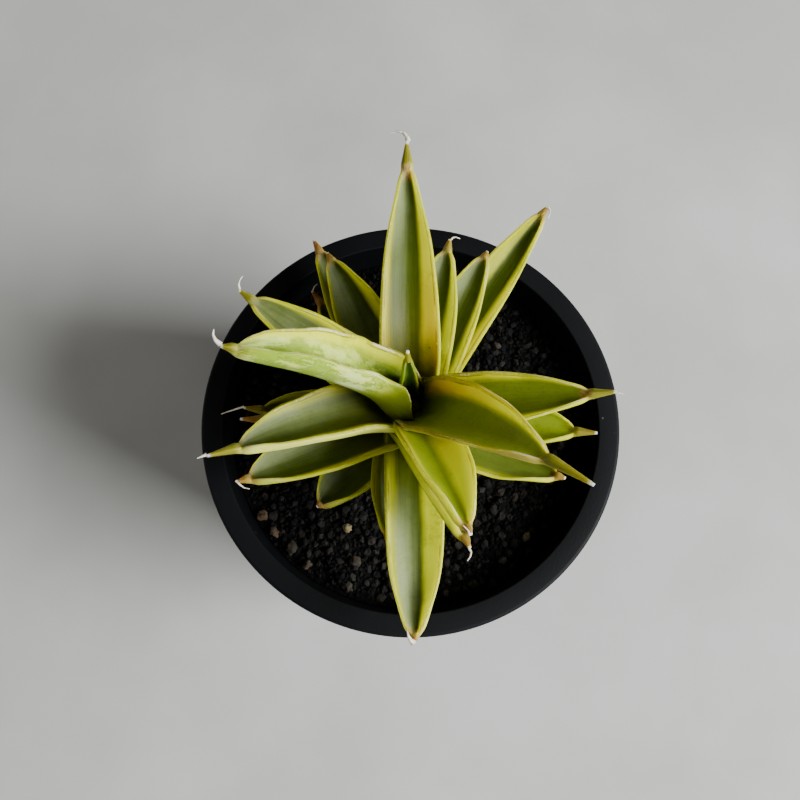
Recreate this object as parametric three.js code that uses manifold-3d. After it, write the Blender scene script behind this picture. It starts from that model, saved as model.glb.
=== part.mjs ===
// Potted variegated pagoda snake plant: thick channelled leaves in a spiral
// round a short stem, which stands in dark grit in a matte black pot.
// Millimetres, +Z up, origin at the centre of the flat underside of the pot.

import * as THREE from 'three';
import { mergeVertices } from 'three/addons/utils/BufferGeometryUtils.js';
import Module from 'manifold-3d';

const wasm = await Module();
wasm.setup();

const DEGREE = Math.PI / 180;
const GAP = 0.3;

// Pot
const POT_HEIGHT = 105;
const POT_RADIUS = 60;
const POT_FOOT_RADIUS = 49;
const RIM_INNER_RADIUS = 53.8;
const RIM_ROUND = 1.1;
const FOOT_ROUND = 2;
const FOOT_WALL = 4.5;
const FLOOR_THICKNESS = 5;
const DRAIN_HOLES = 5;
const DRAIN_HOLE_RADIUS = 4;
const DRAIN_CIRCLE_RADIUS = 25;
const ROUND_SEGMENTS = 60;

// Grit
const SOIL_LEVEL = 94.5;
const GRIT_RINGS = 13;
const GRIT_RELIEF = 1.1;
const GRIT_SEED = 7;

// Stem
const STEM_RADIUS = 7;
const STEM_TOP_RADIUS = 3.5;
const STEM_DEPTH = 14;
const STEM_HEIGHT = 27;
const STEM_SEGMENTS = 20;
const STEM_DOME_RADIUS = 0.7;
const STEM_DOME_DROP = 0.3;

// Leaf, shared by all
const CHANNEL_STEPS = 9;
const STEP_GATHER = 1.25;
const AWL_STEPS = 2;
const ACROSS = 6;
const HANDLE = 0.38;
const ROLL_START = 0.05;
const ROLL_END = 0.4;
const FOOT_SINK = 1.2;
const SHEATH_ROOM = 1;
const SHOULDER = 0.86;
const SHOULDER_END = 0.25;
const OPEN_END = 0.35;
const END_ROUNDNESS = 0.62;
const LEAST_HALF_WIDTH = 0.45;
const CHANNEL_ROUNDNESS = 0.55;
const CLOSED_FOLD = 88;
const CLOSING_START = 0.6;
const CLOSING_POWER = 1.5;
const RIB_THICKNESS = 3.6;
const RIB_END_THICKNESS = 2.2;
const EDGE_FOOT_THICKNESS = 1.8;
const EDGE_THICKNESS = 1;
const EDGE_POWER = 1.6;
const AWL_RADIUS = 1.5;
const AWL_POWER = 0.8;
const AWL_BLEND = 0.02;
const TIP_RADIUS = 0.35;
const WAVE_LENGTH = 14;
const PHASE_STEP = 2.4;
const FACET_TOLERANCE = 0.06;

// One row a leaf, youngest first. Heights are above the grit, angles in degrees.
// azimuth is the compass of the leaf, 0 along +X and 90 along +Y. foot is where
// it leaves the stem, reach and tip are where it ends, and swing is how far the
// tip bends sideways. rise and fall are the slopes of its two ends. A positive
// roll turns the channel clockwise seen from the stem. The channel closes where
// closing says, as a share of the length. taper is low on a blade that narrows
// early and high on a blunt one. thick is a share of the common thickness.
const LEAVES = [
  { azimuth: 105, foot: 24, reach: 3.6, tip: 65.5, width: 4.6, fold: 55, rise: 87, fall: 84, thick: 0.6, taper: 2 },
  { azimuth: 166, foot: 28, reach: 38, tip: 79, width: 18.4, fold: 62, roll: 49, swing: 9, closing: 0.95 },
  { azimuth: 322, foot: 27, reach: 45.5, tip: 74, width: 17.5, fold: 45, roll: -4, swing: 1, closing: 0.82 },
  { azimuth: 91, foot: 25, reach: 61, tip: 56, width: 15.2, fold: 38, closing: 0.88, taper: 2.5 },
  { azimuth: 199, foot: 23, reach: 51, tip: 49, width: 17, fold: 50, roll: 24, swing: 0.5, closing: 0.86 },
  { azimuth: 347, foot: 22, reach: 48, tip: 50, width: 15.2, fold: 40, roll: 6, swing: 9.3, closing: 0.88, taper: 2.8 },
  { azimuth: 285, foot: 20, reach: 38, tip: 56, width: 17.5, fold: 42, roll: -20, swing: 3.3, closing: 0.95 },
  { azimuth: 157, foot: 19, reach: 49, tip: 48, width: 15, fold: 45, swing: -6, closing: 0.92 },
  { azimuth: 76, foot: 17, reach: 42, tip: 43, width: 15, fold: 45, closing: 0.93 },
  { azimuth: 268, foot: 16, reach: 37.5, tip: 44, width: 18, fold: 48, roll: -25, swing: 15, closing: 0.93 },
  { azimuth: 319, foot: 15, reach: 43, tip: 27, width: 18, fold: 45, roll: -8, swing: 12, closing: 0.94 },
  { azimuth: 275, foot: 13, reach: 60, tip: 29, width: 14.4, fold: 32, swing: -4.4, closing: 0.97, taper: 6 },
  { azimuth: 217, foot: 12, reach: 48, tip: 32, width: 17, fold: 48, roll: 10, swing: -10, closing: 0.93, taper: 4.5 },
  { azimuth: 63, foot: 11, reach: 45, tip: 37, width: 14, fold: 45, closing: 0.96 },
  { azimuth: 352, foot: 10, reach: 50, tip: 26, width: 17, fold: 42, roll: -5, closing: 0.88 },
  { azimuth: 118, foot: 9, reach: 49, tip: 29, width: 16, fold: 42, closing: 0.95 },
  { azimuth: 62, foot: 8, reach: 64, tip: 37, width: 12.2, fold: 42, swing: -7.7, closing: 0.96, taper: 4 },
  { azimuth: 260, foot: 7, reach: 36, tip: 20, width: 16, fold: 42, closing: 0.93 },
  { azimuth: 182, foot: 6, reach: 47, tip: 19, width: 14, fold: 50, roll: 15, closing: 0.85 },
  { azimuth: 120, foot: 5, reach: 57, tip: 23, width: 15, fold: 45, swing: -1, closing: 0.93 },
  { azimuth: 228, foot: 4.5, reach: 36, tip: 15, width: 17, fold: 50, roll: 12, swing: -2, closing: 0.96, taper: 5 },
  { azimuth: 177, foot: 4, reach: 47, tip: 15, width: 14, fold: 50, roll: 15, closing: 0.88 },
  { azimuth: 127, foot: 4, reach: 48, tip: 13, width: 14, fold: 50, closing: 0.9 },
];

const LEAF_DEFAULTS = {
  swing: 0, roll: 0, rise: 72, fall: 20, closing: 0.86, taper: 3.5, wave: 0.25, thick: 1,
};

const COLOURS = {
  pot: { color: 0x1b1d20, roughness: 0.62, metalness: 0 },
  soil: { color: 0x2b2725, roughness: 0.95, metalness: 0 },
  stem: { color: 0x8c9a4c, roughness: 0.6, metalness: 0 },
  leaf: { color: 0x9fae3c, roughness: 0.42, metalness: 0 },
};

// Repeatable random numbers from 0 to 1
function randomFrom(seed) {
  let state = seed;
  return () => {
    state = (state * 1664525 + 1013904223) % 4294967296;
    return state / 4294967296;
  };
}

function smooth(low, high, value) {
  return THREE.MathUtils.smoothstep(value, low, high);
}

function mix(a, b, share) {
  return a + (b - a) * share;
}

// Closed three.js geometry to solid, and back
function toSolid(geometry) {
  const bare = geometry.clone();
  bare.deleteAttribute('normal');
  bare.deleteAttribute('uv');
  const merged = mergeVertices(bare, 1e-4);
  return new wasm.Manifold(new wasm.Mesh({
    numProp: 3,
    vertProperties: new Float32Array(merged.attributes.position.array),
    triVerts: new Uint32Array(merged.index.array),
  }));
}

function toGeometry(solid) {
  const mesh = solid.getMesh();
  const geometry = new THREE.BufferGeometry();
  geometry.setAttribute('position', new THREE.BufferAttribute(mesh.vertProperties, 3));
  geometry.setIndex(new THREE.BufferAttribute(mesh.triVerts, 1));
  geometry.computeVertexNormals();
  return geometry;
}

function largestBody(solid) {
  const bodies = solid.decompose();
  return bodies.reduce((best, body) => (body.volume() > best.volume() ? body : best));
}

function lathe(profile, segments) {
  const points = profile.map(([radius, z]) => new THREE.Vector2(radius, z));
  return new THREE.LatheGeometry(points, segments).rotateX(Math.PI / 2);
}

// Pot
function potOuterRadius(z) {
  return mix(POT_FOOT_RADIUS, POT_RADIUS, z / POT_HEIGHT);
}

function potInnerRadius(z) {
  const share = (z - FLOOR_THICKNESS) / (POT_HEIGHT - FLOOR_THICKNESS);
  return mix(POT_FOOT_RADIUS - FOOT_WALL, RIM_INNER_RADIUS, share);
}

function roundCorner(centreRadius, centreZ, radius, from, to, steps) {
  return Array.from({ length: steps + 1 }, (_, i) => {
    const angle = mix(from, to, i / steps) * DEGREE;
    return [centreRadius + radius * Math.cos(angle), centreZ + radius * Math.sin(angle)];
  });
}

function makePot() {
  const profile = [
    [0, 0],
    ...roundCorner(potOuterRadius(0) - FOOT_ROUND, FOOT_ROUND, FOOT_ROUND, -90, 0, 3),
    ...roundCorner(POT_RADIUS - RIM_ROUND, POT_HEIGHT - RIM_ROUND, RIM_ROUND, 0, 90, 4),
    [RIM_INNER_RADIUS, POT_HEIGHT],
    [potInnerRadius(FLOOR_THICKNESS), FLOOR_THICKNESS],
    [0, FLOOR_THICKNESS],
  ];
  let pot = toSolid(lathe(profile, ROUND_SEGMENTS));
  const drill = new THREE.CylinderGeometry(DRAIN_HOLE_RADIUS, DRAIN_HOLE_RADIUS, FLOOR_THICKNESS * 3, 16);
  drill.rotateX(Math.PI / 2);
  for (let i = 0; i < DRAIN_HOLES; i += 1) {
    const angle = (i * 2 * Math.PI) / DRAIN_HOLES;
    const hole = drill.clone().translate(
      DRAIN_CIRCLE_RADIUS * Math.cos(angle), DRAIN_CIRCLE_RADIUS * Math.sin(angle), 0);
    pot = pot.subtract(toSolid(hole));
  }
  return pot;
}

// Grit with a rough top, and a plain hole for the stem
function makeSoil() {
  const floor = FLOOR_THICKNESS + GAP;
  const hole = STEM_RADIUS + GAP;
  const rimRadius = potInnerRadius(SOIL_LEVEL) - GAP;
  const profile = [
    [hole, floor],
    [potInnerRadius(floor) - GAP, floor],
  ];
  for (let i = 0; i <= GRIT_RINGS; i += 1) {
    profile.push([mix(rimRadius, hole, i / GRIT_RINGS), SOIL_LEVEL]);
  }
  profile.push([hole, floor]);
  const geometry = lathe(profile, ROUND_SEGMENTS);
  const random = randomFrom(GRIT_SEED);
  const position = geometry.attributes.position;
  const rows = profile.length;
  const heights = Array.from({ length: ROUND_SEGMENTS * rows }, () => random() * 2 - 1);
  for (let i = 0; i < position.count; i += 1) {
    const row = i % rows;
    const turn = Math.floor(i / rows) % ROUND_SEGMENTS;
    const onTop = row > 2 && row < rows - 2;
    if (onTop) {
      position.setZ(i, SOIL_LEVEL + GRIT_RELIEF * heights[turn * rows + row]);
    }
  }
  return toSolid(geometry);
}

// Stem
function stemRadius(height) {
  const share = THREE.MathUtils.clamp(height / STEM_HEIGHT, 0, 1);
  return mix(STEM_RADIUS, STEM_TOP_RADIUS, share);
}

function makeStem(grow) {
  const top = STEM_HEIGHT + grow;
  const profile = [
    [0, -STEM_DEPTH - grow],
    [STEM_RADIUS + grow, -STEM_DEPTH - grow],
    [STEM_RADIUS + grow, 0],
    [STEM_TOP_RADIUS + grow, top - STEM_TOP_RADIUS],
    [(STEM_TOP_RADIUS + grow) * STEM_DOME_RADIUS, top - STEM_TOP_RADIUS * STEM_DOME_DROP],
    [0, top],
  ];
  return toSolid(lathe(profile, STEM_SEGMENTS).translate(0, 0, SOIL_LEVEL));
}

// Centre line of a leaf, along the bottom of its channel, and the way it faces
function leafFrame(leaf, along) {
  const footRadius = stemRadius(leaf.foot) - FOOT_SINK;
  const foot = new THREE.Vector3(footRadius, 0, leaf.foot);
  const tip = new THREE.Vector3(leaf.reach, leaf.swing, leaf.tip);
  const hold = foot.distanceTo(tip) * HANDLE;
  const rise = leaf.rise * DEGREE;
  const fall = leaf.fall * DEGREE;
  const curve = new THREE.CubicBezierCurve3(
    foot,
    new THREE.Vector3(foot.x + hold * Math.cos(rise), 0, foot.z + hold * Math.sin(rise)),
    new THREE.Vector3(tip.x - hold * Math.cos(fall), leaf.swing / 2, tip.z - hold * Math.sin(fall)),
    tip);
  const centre = curve.getPointAt(along);
  const ahead = curve.getTangentAt(along);
  const side = new THREE.Vector3(0, 1, 0).addScaledVector(ahead, -ahead.y).normalize();
  const inward = new THREE.Vector3().crossVectors(ahead, side);
  const roll = leaf.roll * DEGREE * smooth(ROLL_START, ROLL_END, along);
  side.applyAxisAngle(ahead, roll);
  inward.applyAxisAngle(ahead, roll);
  return { centre, side, inward, length: curve.getLength() };
}

// One half of the channel as points [across, height, slope], from the bottom
// to the edge. A low roundness bends it sharply at the bottom, like a V.
function channelHalf(halfWidth, fold, roundness) {
  const steps = ACROSS / 2;
  const slopeAt = (share) => fold * share ** roundness;
  const points = [[0, 0, 0]];
  for (let i = 0; i < steps; i += 1) {
    const [across, height] = points[i];
    const slope = slopeAt((i + 0.5) / steps);
    const step = halfWidth / steps;
    const ahead = i + 1 < steps ? slopeAt((i + 1) / steps) : slope;
    points.push([across + step * Math.cos(slope), height + step * Math.sin(slope), ahead]);
  }
  return points;
}

// Cross-section of a leaf as points [side, inward], first the channel from one
// edge to the other, then the keel back. grow makes it fatter all round and
// fills its channel, which leaves the room that an older leaf must keep clear.
function leafSection(leaf, along, length, grow, phase) {
  const run = Math.min(along / leaf.closing, 1);
  const opened = smooth(0, OPEN_END, run);
  const footFold = ((leaf.width / 2) * SHOULDER) / (stemRadius(leaf.foot) + SHEATH_ROOM) / DEGREE;
  const shutting = smooth(CLOSING_START, 1, run) ** CLOSING_POWER;
  const fold = mix(mix(footFold, leaf.fold, opened), CLOSED_FOLD, shutting) * DEGREE;
  const roundness = mix(mix(1, CHANNEL_ROUNDNESS, opened), 1, shutting);
  const shoulder = mix(SHOULDER, 1, smooth(0, SHOULDER_END, run));
  const tapered = (1 - run ** leaf.taper) ** END_ROUNDNESS;
  const halfWidth = (leaf.width / 2) * shoulder * tapered + LEAST_HALF_WIDTH;
  const thinned = smooth(OPEN_END, 1, run);
  const rib = mix(RIB_THICKNESS, RIB_END_THICKNESS, thinned) * leaf.thick;
  const rim = mix(EDGE_FOOT_THICKNESS, EDGE_THICKNESS, thinned) * leaf.thick;
  const awl = smooth(-AWL_BLEND, AWL_BLEND, along - leaf.closing);
  const beyond = Math.max((along - leaf.closing) / (1 - leaf.closing), 0);
  const awlRadius = mix(AWL_RADIUS * leaf.thick, TIP_RADIUS, beyond ** AWL_POWER) + grow;
  const wave = leaf.wave * Math.sin((along * length * 2 * Math.PI) / WAVE_LENGTH + phase);
  const half = channelHalf(halfWidth, fold, roundness);
  const point = (index, keel) => {
    const hand = Math.sign(index);
    const share = Math.abs(index) / (ACROSS / 2);
    const [across, height, slope] = half[Math.abs(index)];
    const edge = share ** EDGE_POWER;
    const off = keel ? -mix(rib, rim, edge) - grow : grow;
    const past = share === 1 ? grow : 0;
    const open = [
      Math.max(across - off * Math.sin(slope) + past * Math.cos(slope), share * 0.1),
      height + off * Math.cos(slope) + past * Math.sin(slope) + wave * edge * hand * (1 - awl),
    ];
    if (grow > 0 && !keel) {
      open[1] = Math.max(open[1], half[ACROSS / 2][1] + grow);
    }
    const around = (keel ? 180 - share * 80 : share * 70) * DEGREE;
    return [
      hand * mix(open[0], awlRadius * Math.sin(around), awl),
      mix(open[1], awlRadius * Math.cos(around), awl),
    ];
  };
  const indices = Array.from({ length: ACROSS + 1 }, (_, i) => i - ACROSS / 2);
  return [
    ...indices.map((index) => point(index, false)),
    ...indices.reverse().map((index) => point(index, true)),
  ];
}

function stationAt(leaf, step) {
  if (step <= CHANNEL_STEPS) {
    return leaf.closing * (1 - (1 - step / CHANNEL_STEPS) ** STEP_GATHER);
  }
  return mix(leaf.closing, 1, (step - CHANNEL_STEPS) / AWL_STEPS);
}

function makeLeaf(row, number, grow) {
  const leaf = { ...LEAF_DEFAULTS, ...row };
  const phase = number * PHASE_STEP;
  const corners = 2 * (ACROSS + 1);
  const steps = CHANNEL_STEPS + AWL_STEPS;
  const positions = [];
  const faces = [];
  let firstSection = [];
  for (let i = 0; i <= steps; i += 1) {
    const along = stationAt(leaf, i);
    const { centre, side, inward, length } = leafFrame(leaf, along);
    const section = leafSection(leaf, along, length, grow, phase);
    firstSection = i === 0 ? section : firstSection;
    section.forEach(([across, depth]) => {
      const point = centre.clone().addScaledVector(side, across).addScaledVector(inward, depth);
      positions.push(point.x, point.y, point.z);
    });
  }
  for (let i = 0; i < steps; i += 1) {
    for (let j = 0; j < corners; j += 1) {
      const a = i * corners + j;
      const b = i * corners + ((j + 1) % corners);
      faces.push(a, a + corners, b, b, a + corners, b + corners);
    }
  }
  const outline = firstSection.map(([x, y]) => new THREE.Vector2(x, y));
  THREE.ShapeUtils.triangulateShape(outline, []).forEach(([a, b, c]) => {
    const clockwise = THREE.ShapeUtils.isClockWise([outline[a], outline[b], outline[c]]);
    faces.push(a, clockwise ? b : c, clockwise ? c : b);
  });
  const last = steps * corners;
  for (let j = 1; j < corners - 1; j += 1) {
    faces.push(last, last + j + 1, last + j);
  }
  const geometry = new THREE.BufferGeometry();
  geometry.setAttribute('position', new THREE.Float32BufferAttribute(positions, 3));
  geometry.setIndex(faces);
  geometry.rotateZ(leaf.azimuth * DEGREE).translate(0, 0, SOIL_LEVEL);
  return toSolid(geometry);
}

const object = new THREE.Group();

function addPiece(name, solid, look) {
  const mesh = new THREE.Mesh(toGeometry(solid), new THREE.MeshStandardMaterial(COLOURS[look]));
  mesh.name = name;
  object.add(mesh);
}

addPiece('pot', makePot(), 'pot');
addPiece('soil', makeSoil(), 'soil');
addPiece('stem', makeStem(0), 'stem');

// Each leaf is shaped to the stem and to the younger leaves that it wraps
let wrapped = makeStem(GAP);
LEAVES.forEach((row, index) => {
  const number = index + 1;
  const leaf = largestBody(makeLeaf(row, number, 0).subtract(wrapped).simplify(FACET_TOLERANCE));
  wrapped = wrapped.add(makeLeaf(row, number, GAP));
  addPiece(`leaf_${String(number).padStart(2, '0')}`, leaf, 'leaf');
});

export default object;
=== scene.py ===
"""Potted variegated pagoda snake plant: 23 channelled leaves, a stem, grit and a matte black pot."""

import math

import bmesh
import bpy
import numpy as np
from mathutils import Matrix, Vector, noise


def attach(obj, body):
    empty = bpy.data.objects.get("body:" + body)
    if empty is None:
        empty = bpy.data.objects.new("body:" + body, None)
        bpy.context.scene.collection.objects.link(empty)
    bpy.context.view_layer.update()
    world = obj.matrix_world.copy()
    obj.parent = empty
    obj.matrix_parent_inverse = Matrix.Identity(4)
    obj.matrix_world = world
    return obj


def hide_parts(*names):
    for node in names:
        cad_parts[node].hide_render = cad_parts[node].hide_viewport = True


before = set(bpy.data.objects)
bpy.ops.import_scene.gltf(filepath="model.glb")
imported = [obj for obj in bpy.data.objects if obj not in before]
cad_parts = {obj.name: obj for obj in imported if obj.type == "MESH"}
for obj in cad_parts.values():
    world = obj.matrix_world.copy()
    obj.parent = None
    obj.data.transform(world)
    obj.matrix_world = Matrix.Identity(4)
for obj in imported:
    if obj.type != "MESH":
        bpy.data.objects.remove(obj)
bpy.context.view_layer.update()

MM = 0.001
DEGREE = math.pi / 180

# Camera, fitted to the round rim and to the tips of the leaves
CAMERA_AT = (-0.0017, -0.0486, 0.329)
CAMERA_TILT = 13.65
CAMERA_PAN = 0.30
CAMERA_LENS = 36
CAMERA_SENSOR = 36
CAMERA_NEAR = 0.005

camera_data = bpy.data.cameras.new("camera")
camera_data.lens = CAMERA_LENS
camera_data.sensor_width = CAMERA_SENSOR
camera_data.clip_start = CAMERA_NEAR
camera = bpy.data.objects.new("camera", camera_data)
bpy.context.scene.collection.objects.link(camera)
tilt = Matrix.Rotation(CAMERA_TILT * DEGREE, 4, "X")
pan = Matrix.Rotation(CAMERA_PAN * DEGREE, 4, "Y")
camera.matrix_world = Matrix.Translation(CAMERA_AT) @ (tilt @ pan)
bpy.context.scene.camera = camera

# Pot, in millimetres
POT_HEIGHT = 105
POT_RADIUS = 60
POT_FOOT_RADIUS = 49
RIM_INNER_RADIUS = 53.8
RIM_ROUND = 1.1
LIP_ROUND = 0.5
FOOT_ROUND = 2
FOOT_WALL = 4.5
FLOOR_THICKNESS = 5
DRAIN_HOLES = 5
DRAIN_HOLE_RADIUS = 4
DRAIN_CIRCLE_RADIUS = 25
POT_SEGMENTS = 180
ROUND_STEPS = 8
LIP_STEPS = 5
BORE_ROUND = 2
OUTSIDE_STOPS = (0.1, 0.3, 0.5, 0.7, 0.9)
INSIDE_STOPS = (0.1, 0.3, 0.6, 0.97)
DRILL_BOTTOM = -4
DRILL_TOP = 12
DRILL_SEGMENTS = 40
POT_SHARP_ANGLE = 40

# Stem and grit
SOIL_LEVEL = 94.5
STEM_RADIUS = 7
STEM_TOP_RADIUS = 3.5
STEM_HEIGHT = 27
STEM_DEPTH = 14
SHEATH_GAP = 0.3
WRAPPED_SEGMENTS = 40

# Leaf, shared by all
FOOT_SINK = 1.2
SHEATH_ROOM = 1
SHOULDER = 0.86
SHOULDER_END = 0.25
OPEN_END = 0.35
END_ROUNDNESS = 0.62
LEAST_HALF_WIDTH = 0.45
CHANNEL_ROUNDNESS = 0.55
CLOSED_FOLD = 88
CLOSING_START = 0.6
CLOSING_POWER = 1.5
RIB_THICKNESS = 3.6
RIB_END_THICKNESS = 2.2
EDGE_FOOT_THICKNESS = 1.1
EDGE_THICKNESS = 0.5
EDGE_POWER = 1.6
EDGE_BULGE = 0.3
AWL_RADIUS = 1.5
AWL_POWER = 0.8
AWL_BLEND = 0.03
AWL_INNER_SPREAD = 70
AWL_OUTER_SPREAD = 80
TIP_RADIUS = 0.35
WAVE_LENGTH = 14
RIPPLE_DEPTH = 0.08
RIPPLE_FAST = 1.9
RIPPLE_SLOW = 0.83
PHASE_STEP = 2.4
LEAST_SPREAD = 0.1
HANDLE = 0.38
ROLL_START = 0.05
ROLL_END = 0.4
STEP_GATHER = 1.25
LEAF_SHARP_ANGLE = 50
LEAF_DETAIL = dict(channel_steps=64, awl_steps=18, half_steps=16, edge_steps=6)
ROOM_DETAIL = dict(channel_steps=30, awl_steps=5, half_steps=8, edge_steps=2)

# One row a leaf, youngest first: its shape as in the imported model (leaf 4 closes a
# little later and the tips are a little thicker), then its look. left and right are the
# shares of each half that are yellow, seen from the stem. gold, pale and green say how much
# of that colour the channel has; sheen_share is how much grey-green painted sheen, over
# some real waxy coat, it has on the half that faces the lamp, and glow how much its heart
# is painted brighter, as painted light and in part its own fresher green. patch and aged
# say how much of that colour the keel has, and shine how much painted highlight its edges
# have. high is where the painted sheen starts. deep is how dark the painted shade at the
# foot is and dark how far up it reaches. wear, brown and scar are its age, and awl is the
# thickness of the tip.
LEAVES = [
    dict(azimuth=105, foot=24, reach=3.6, tip=65.5, width=4.6, fold=55, rise=87, fall=84, thick=0.6,
         taper=2, left=0.15, right=0.15, sheen_share=0.2, gold=0.1, green=1),
    dict(azimuth=166, foot=28, reach=38, tip=79, width=18.4, fold=62, roll=49, swing=9, closing=0.95,
         left=0.25, right=0.25, sheen_share=0.3, pale=1, patch=1, wear=0.75, gold=0.05, dark=0.42),
    dict(azimuth=322, foot=27, reach=45.5, tip=74, width=17.5, fold=45, roll=-4, swing=1, closing=0.82,
         left=0.38, right=0.08, sheen_share=0.15, wear=0.6, gold=0.9, patch=0.3, deep=0.4, glow=1.2, aged=1),
    dict(azimuth=91, foot=25, reach=61, tip=56, width=15.2, fold=38, closing=0.9, taper=2.5, awl=1.4,
         left=0.2, right=0.5, sheen_share=1, high=0.48, gold=1.1, wear=0.5, scar=1, deep=0.95, dark=0.4),
    dict(azimuth=199, foot=23, reach=51, tip=49, width=17, fold=50, roll=24, swing=0.5, closing=0.86,
         left=0.3, right=0.14, sheen_share=0.75, gold=0.55, wear=0.5, patch=0.2, deep=0.3, shine=1),
    dict(azimuth=347, foot=22, reach=48, tip=50, width=15.2, fold=40, roll=6, swing=9.3, closing=0.88,
         taper=2.8, left=0.16, right=0.2, sheen_share=0.05, gold=0.6, wear=0.7, scar=0.8, glow=0.45),
    dict(azimuth=285, foot=20, reach=38, tip=56, width=17.5, fold=42, roll=-20, swing=3.3, closing=0.95,
         left=0.8, right=0.2, sheen_share=0, gold=1, wear=0.4, brown=0.5, glow=0.8, deep=0.4),
    dict(azimuth=157, foot=19, reach=49, tip=48, width=15, fold=45, swing=-6, closing=0.92,
         left=0.14, right=0.18, sheen_share=1.4, high=0, gold=0.3, wear=0.4),
    dict(azimuth=76, foot=17, reach=42, tip=43, width=15, fold=45, closing=0.93,
         left=0.08, right=0.42, sheen_share=0.45, gold=0.15, wear=0.3, brown=0.3),
    dict(azimuth=268, foot=16, reach=37.5, tip=44, width=18, fold=48, roll=-25, swing=15, closing=0.93,
         left=0.3, right=0.35, sheen_share=0.2, gold=0.5, wear=0.5, brown=0.4),
    dict(azimuth=319, foot=15, reach=43, tip=27, width=18, fold=45, roll=-8, swing=12, closing=0.94,
         left=0.1, right=0.13, sheen_share=0.25, gold=0.3, wear=0.3, brown=0.5, glow=0.25),
    dict(azimuth=275, foot=13, reach=60, tip=29, width=14.4, fold=32, swing=-4.4, closing=0.97, taper=6,
         left=0.66, right=0.26, sheen_share=1.2, high=0.3, gold=0.1, wear=0.4, brown=0.5, shine=0.4),
    dict(azimuth=217, foot=12, reach=48, tip=32, width=17, fold=48, roll=10, swing=-10, closing=0.93,
         taper=4.5, left=0.16, right=0.04, sheen_share=0.7, gold=0.7, wear=0.3, brown=0.5),
    dict(azimuth=63, foot=11, reach=45, tip=37, width=14, fold=45, closing=0.96,
         left=0.06, right=0.28, sheen_share=0.6, gold=0.2, wear=0.3, brown=0.4, glow=0.2),
    dict(azimuth=352, foot=10, reach=50, tip=26, width=17, fold=42, roll=-5, closing=0.88,
         left=0.12, right=0.14, sheen_share=0.05, gold=0.3, wear=0.15, brown=0.25, glow=1),
    dict(azimuth=118, foot=9, reach=49, tip=29, width=16, fold=42, closing=0.95,
         left=0.1, right=0.38, sheen_share=1.5, high=0, gold=0.6, wear=0.35, brown=0.5),
    dict(azimuth=62, foot=8, reach=64, tip=37, width=12.2, fold=42, swing=-7.7, closing=0.96, taper=4,
         left=0.72, right=0.3, sheen_share=0, gold=0.9, wear=0.3, brown=0.4),
    dict(azimuth=260, foot=7, reach=36, tip=20, width=16, fold=42, closing=0.93,
         left=0.15, right=0.25, sheen_share=0.7, gold=0.3, brown=0.6),
    dict(azimuth=182, foot=6, reach=47, tip=19, width=14, fold=50, roll=15, closing=0.85,
         sheen_share=0.2, gold=0.8, brown=0.6),
    dict(azimuth=120, foot=5, reach=57, tip=23, width=15, fold=45, swing=-1, closing=0.93,
         left=0.2, right=0.15, sheen_share=1.5, high=0, gold=0.4, wear=0.3, brown=0.7),
    dict(azimuth=228, foot=4.5, reach=36, tip=15, width=17, fold=50, roll=12, swing=-2, closing=0.96,
         taper=5, left=0.15, right=0.08, sheen_share=0.6, gold=0.7, wear=0.3, brown=0.6),
    dict(azimuth=177, foot=4, reach=47, tip=15, width=14, fold=50, roll=15, closing=0.88,
         sheen_share=0.3, gold=0.7, brown=0.3),
    dict(azimuth=127, foot=4, reach=48, tip=13, width=14, fold=50, closing=0.9,
         sheen_share=0.2, gold=0.8, wear=0.4, brown=1),
]
LEAF_DEFAULTS = dict(
    swing=0, roll=0, rise=72, fall=20, closing=0.86, taper=3.5, wave=0.25, thick=1,
    left=0.28, right=0.28, gold=0.3, sheen_share=0.4, wear=0.3, brown=0.15, patch=0.15, pale=0,
    scar=0.15, deep=0.6, glow=0.1, green=0, dark=0.34, high=0.2, awl=1.1,
    aged=0, shine=0,
)

# Step from one leaf's or pebble's noise to the next, and the turn of the sunny side in degrees
SEED_STEP = 7.3
SUN_TURN = 18

LEAF_GLOSS = {
    "IOR": 1.42,
    "Specular IOR Level": 0.24,
    "Subsurface Weight": 1.0,
    "Subsurface Radius": (1.0, 0.9, 0.12),
    "Subsurface Scale": 0.004,
}

# Noise over the leaf skin: waves in a millimetre across and along, detail and roughness
STREAK = (0.5, 0.03, 3.0, 0.55)
HAIR = (3.2, 0.07, 3.0, 0.6)
FLECK = (0.8, 1.1, 4.0, 0.65)
BLOT = (0.3, 0.13, 4.0, 0.6)

# Colours of the leaf skin, as they look on a screen. Some are painted light and shade: the brighter
# heart, the grey-green sheen, the lit and shaded margins and keel edges, the highlights and the shade
# at the foot.
LEAF_PAINTS = dict(
    heart_dark=(46, 60, 1), heart_light=(72, 88, 6), heart_gold=(96, 90, 0), glow=(150, 166, 12),
    sheen_and_bloom=(140, 150, 100), fresh_dark=(104, 136, 22), fresh_light=(150, 172, 40),
    cloud=(206, 222, 112), heart_vein=(104, 134, 20), heart_fleck=(44, 58, 6),
    lime_shade=(226, 232, 2), lime_sun=(164, 168, 0), golden_shade=(226, 200, 0),
    golden_sun=(158, 138, 0), margin_hair=(214, 216, 4), margin_highlight=(244, 246, 96),
    margin_fleck=(132, 148, 4), keel_dark=(100, 116, 6), keel_light=(150, 154, 8),
    keel_sun=(236, 236, 120), keel_shine=(248, 250, 118), keel_green=(132, 164, 46),
    keel_mint=(214, 232, 150), keel_vein=(110, 146, 30), keel_foot=(96, 108, 3),
    keel_aged=(150, 124, 62), young_green=(72, 104, 14), foot_shade=(60, 78, 26), ink=(72, 66, 6),
    rim=(132, 128, 10), worn_rim=(222, 206, 166), speck=(64, 44, 6), awl_dark=(84, 104, 4),
    awl_light=(130, 140, 10), scar=(188, 152, 96), tan=(176, 128, 78), rust=(128, 76, 38),
    dry_tip=(240, 234, 222),
)

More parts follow.
